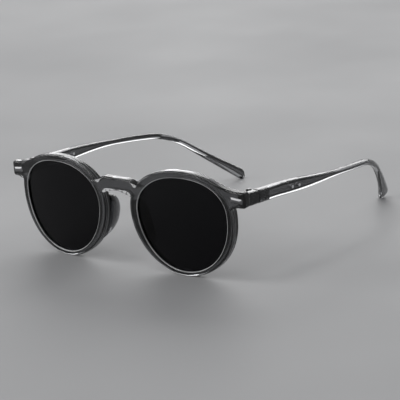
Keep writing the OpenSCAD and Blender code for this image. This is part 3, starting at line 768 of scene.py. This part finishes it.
lens, pad, temple, plaque = lens_mesh(), pad_mesh(), temple_mesh(), plaque_mesh()
for side, flip in (("left", False), ("right", True)):
    piece("lens_%s_shaped" % side, lens, tint_lens, "frame", ["lens_" + side], flip, angle=30)
    piece("nose_pad_%s_shaped" % side, pad, acetate, "frame", ["nose_pad_" + side], flip,
          angle=60)
    piece("temple_%s_shaped" % side, temple, acetate, side + "_temple", ["temple_" + side], flip)
    piece("plaque_%s_shaped" % side, plaque, plaque_metal, "frame", ["front_plaque_" + side],
          flip, angle=14)

# The metal pieces keep the solids' own shapes, and the first word that is in a name gives its metal
METALS = (("rivets", rivet_metal), ("temple_hinge", lit_leaf_metal), ("hinge", hinge_metal))
for name, obj in frame["nodes"].items():
    metal = next((mat for word, mat in METALS if word in name), None)
    if metal:
        obj.data.materials.clear()
        obj.data.materials.append(metal)


# Stage
def disc(name, radii, n=96):
    """A level round disc, in rings out to the last radius, in metres."""
    turns = np.linspace(0, 2 * math.pi, n, endpoint=False)
    verts, faces = skin([[[r * math.cos(a), r * math.sin(a), 0] for a in turns] for r in radii], close=False)
    verts = np.concatenate([verts, [[0, 0, 0]]])
    faces += [[len(verts) - 1, (i + 1) % n, i] for i in range(n)]
    obj = new_object(name, verts, faces)
    obj.data.shade_smooth()
    return obj


floor = disc("studio_floor", (0.05, 0.4, 1.2, 2.2))
pale_floor = material("pale_floor", (0.45, 0.45, 0.455), rough=(0.55, 0.7), scale=6, tint=0.015)
floor.data.materials.append(pale_floor)


# World and lights
def set_background(node, colour, strength):
    node.inputs["Color"].default_value = colour + (1,)
    node.inputs["Strength"].default_value = strength
    return node.outputs["Background"]


def larger(tree, a, b):
    """The larger of two values."""
    node = tree.nodes.new("ShaderNodeMath")
    node.operation = "MAXIMUM"
    tree.links.new(a, node.inputs[0])
    tree.links.new(b, node.inputs[1])
    return node.outputs["Value"]


def studio_world():
    """Soft light all round, with a background as pale as the floor, also in metal and glass."""
    world = bpy.data.worlds.new("studio")
    world.use_nodes = True
    tree = world.node_tree
    sky = set_background(tree.nodes["Background"], (0.9, 0.92, 0.95), 0.24)
    seen = set_background(tree.nodes.new("ShaderNodeBackground"), (0.40, 0.402, 0.408), 1)
    rays = tree.nodes.new("ShaderNodeLightPath").outputs
    indirect = larger(tree, rays["Is Glossy Ray"], rays["Is Transmission Ray"])
    choice = tree.nodes.new("ShaderNodeMixShader")
    tree.links.new(larger(tree, rays["Is Camera Ray"], indirect), choice.inputs["Fac"])
    tree.links.new(sky, choice.inputs[1])
    tree.links.new(seen, choice.inputs[2])
    tree.links.new(choice.outputs["Shader"], tree.nodes["World Output"].inputs["Surface"])
    return world


# Middle of the glasses, at which the lamps point, in metres
AIM = Vector((0, 0, 0.02))


def softbox(name, place, size, power):
    """A rectangular lamp, with its place and size in metres and its power in watts."""
    light = bpy.data.lights.new(name, "AREA")
    light.shape, light.energy = "RECTANGLE", power
    light.size, light.size_y = size
    obj = bpy.data.objects.new(name, light)
    bpy.context.scene.collection.objects.link(obj)
    obj.location = place
    obj.rotation_euler = (AIM - Vector(place)).to_track_quat("-Z", "Y").to_euler()


bpy.context.scene.world = studio_world()
softbox("back_light", (-1.25, 2.95, 1.55), (3.9, 2.3), 64.0)
softbox("top_light", (-0.45, -0.55, 1.8), (0.6, 0.6), 5.0)
softbox("front_light", (-0.82, -0.96, 0.44), (1.45, 0.72), 7.5)

# Camera: turn to the wearer's left, height and roll, as fitted to the photograph
YAW, PITCH, ROLL = math.radians(37.92), math.radians(15.15), math.radians(-3.04)
# Focal length and picture width in pixels, and sensor width in millimetres
FOCAL, PICTURE_W, SENSOR_W = 1740.0, 400, 36
# The point that it turns round, its distance, and its shift to the right and up, in metres
PIVOT, DIST, SHIFT_X, SHIFT_Y = Vector((0, 0.060333, 0.02)), 0.8934, -0.0467, -0.02197


def photo_camera():
    back = Vector((math.sin(YAW) * math.cos(PITCH), -math.cos(YAW) * math.cos(PITCH), math.sin(PITCH)))
    right = Vector((math.cos(YAW), math.sin(YAW), 0))
    up = back.cross(right)
    c, s = math.cos(ROLL), math.sin(ROLL)
    right, up = c * right + s * up, c * up - s * right
    eye = PIVOT + right * SHIFT_X + up * SHIFT_Y + back * DIST
    camera = bpy.data.cameras.new("camera")
    camera.sensor_width = SENSOR_W
    camera.lens = FOCAL / PICTURE_W * SENSOR_W
    camera.clip_start = 0.01
    obj = bpy.data.objects.new("camera", camera)
    bpy.context.scene.collection.objects.link(obj)
    obj.matrix_world = Matrix.Translation(eye) @ Matrix((right, up, back)).transposed().to_4x4()
    return obj


bpy.context.scene.camera = photo_camera()
bpy.context.scene.view_settings.view_transform = "Standard"
